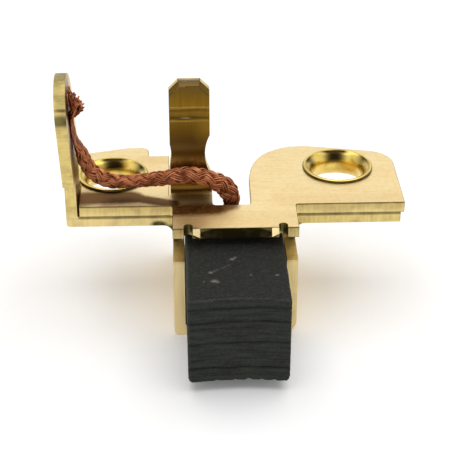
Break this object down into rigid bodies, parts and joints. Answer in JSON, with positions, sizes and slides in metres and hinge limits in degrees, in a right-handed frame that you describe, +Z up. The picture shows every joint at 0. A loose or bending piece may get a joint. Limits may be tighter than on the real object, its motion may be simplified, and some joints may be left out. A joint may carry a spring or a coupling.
{
  "type": "carbon brush",
  "caption": "Motor carbon brush in a folded brass box with two eyelets for screws, a blade terminal, and a copper pigtail welded to an upright arm.",
  "frame": {"origin": "In the upper sheet's top face, at the middle of its front edge, which is also the mouth of the box.", "axes": "X runs along the ears, from the pigtail's arm on the left to the plain ear on the right. Y runs from the contact face towards the back of the box. Z runs up, along the eyelets' screws, from the box to the blade."},
  "size_m": [0.0356, 0.0279, 0.0264],
  "materials": {
    "brass": "stamped sheet, satin, with bright sheared edges",
    "eyelet_brass": "rolled and polished",
    "carbon": "pressed graphite, dull, with fine grain",
    "copper": "bare stranded copper"
  },
  "bodies": {
    "holder": {"upper_plate": "brass", "lower_plate": "brass", "eyelet_left": "eyelet_brass", "eyelet_right": "eyelet_brass", "pigtail": "copper"},
    "block": {"carbon_block": "carbon"}
  },
  "joints": [
    {"name": "block_slide", "type": "slide", "parent": "holder", "child": "block", "axis": [0, 1, 0], "range_m": [0, 0.006], "deforming": ["pigtail"]}
  ]
}
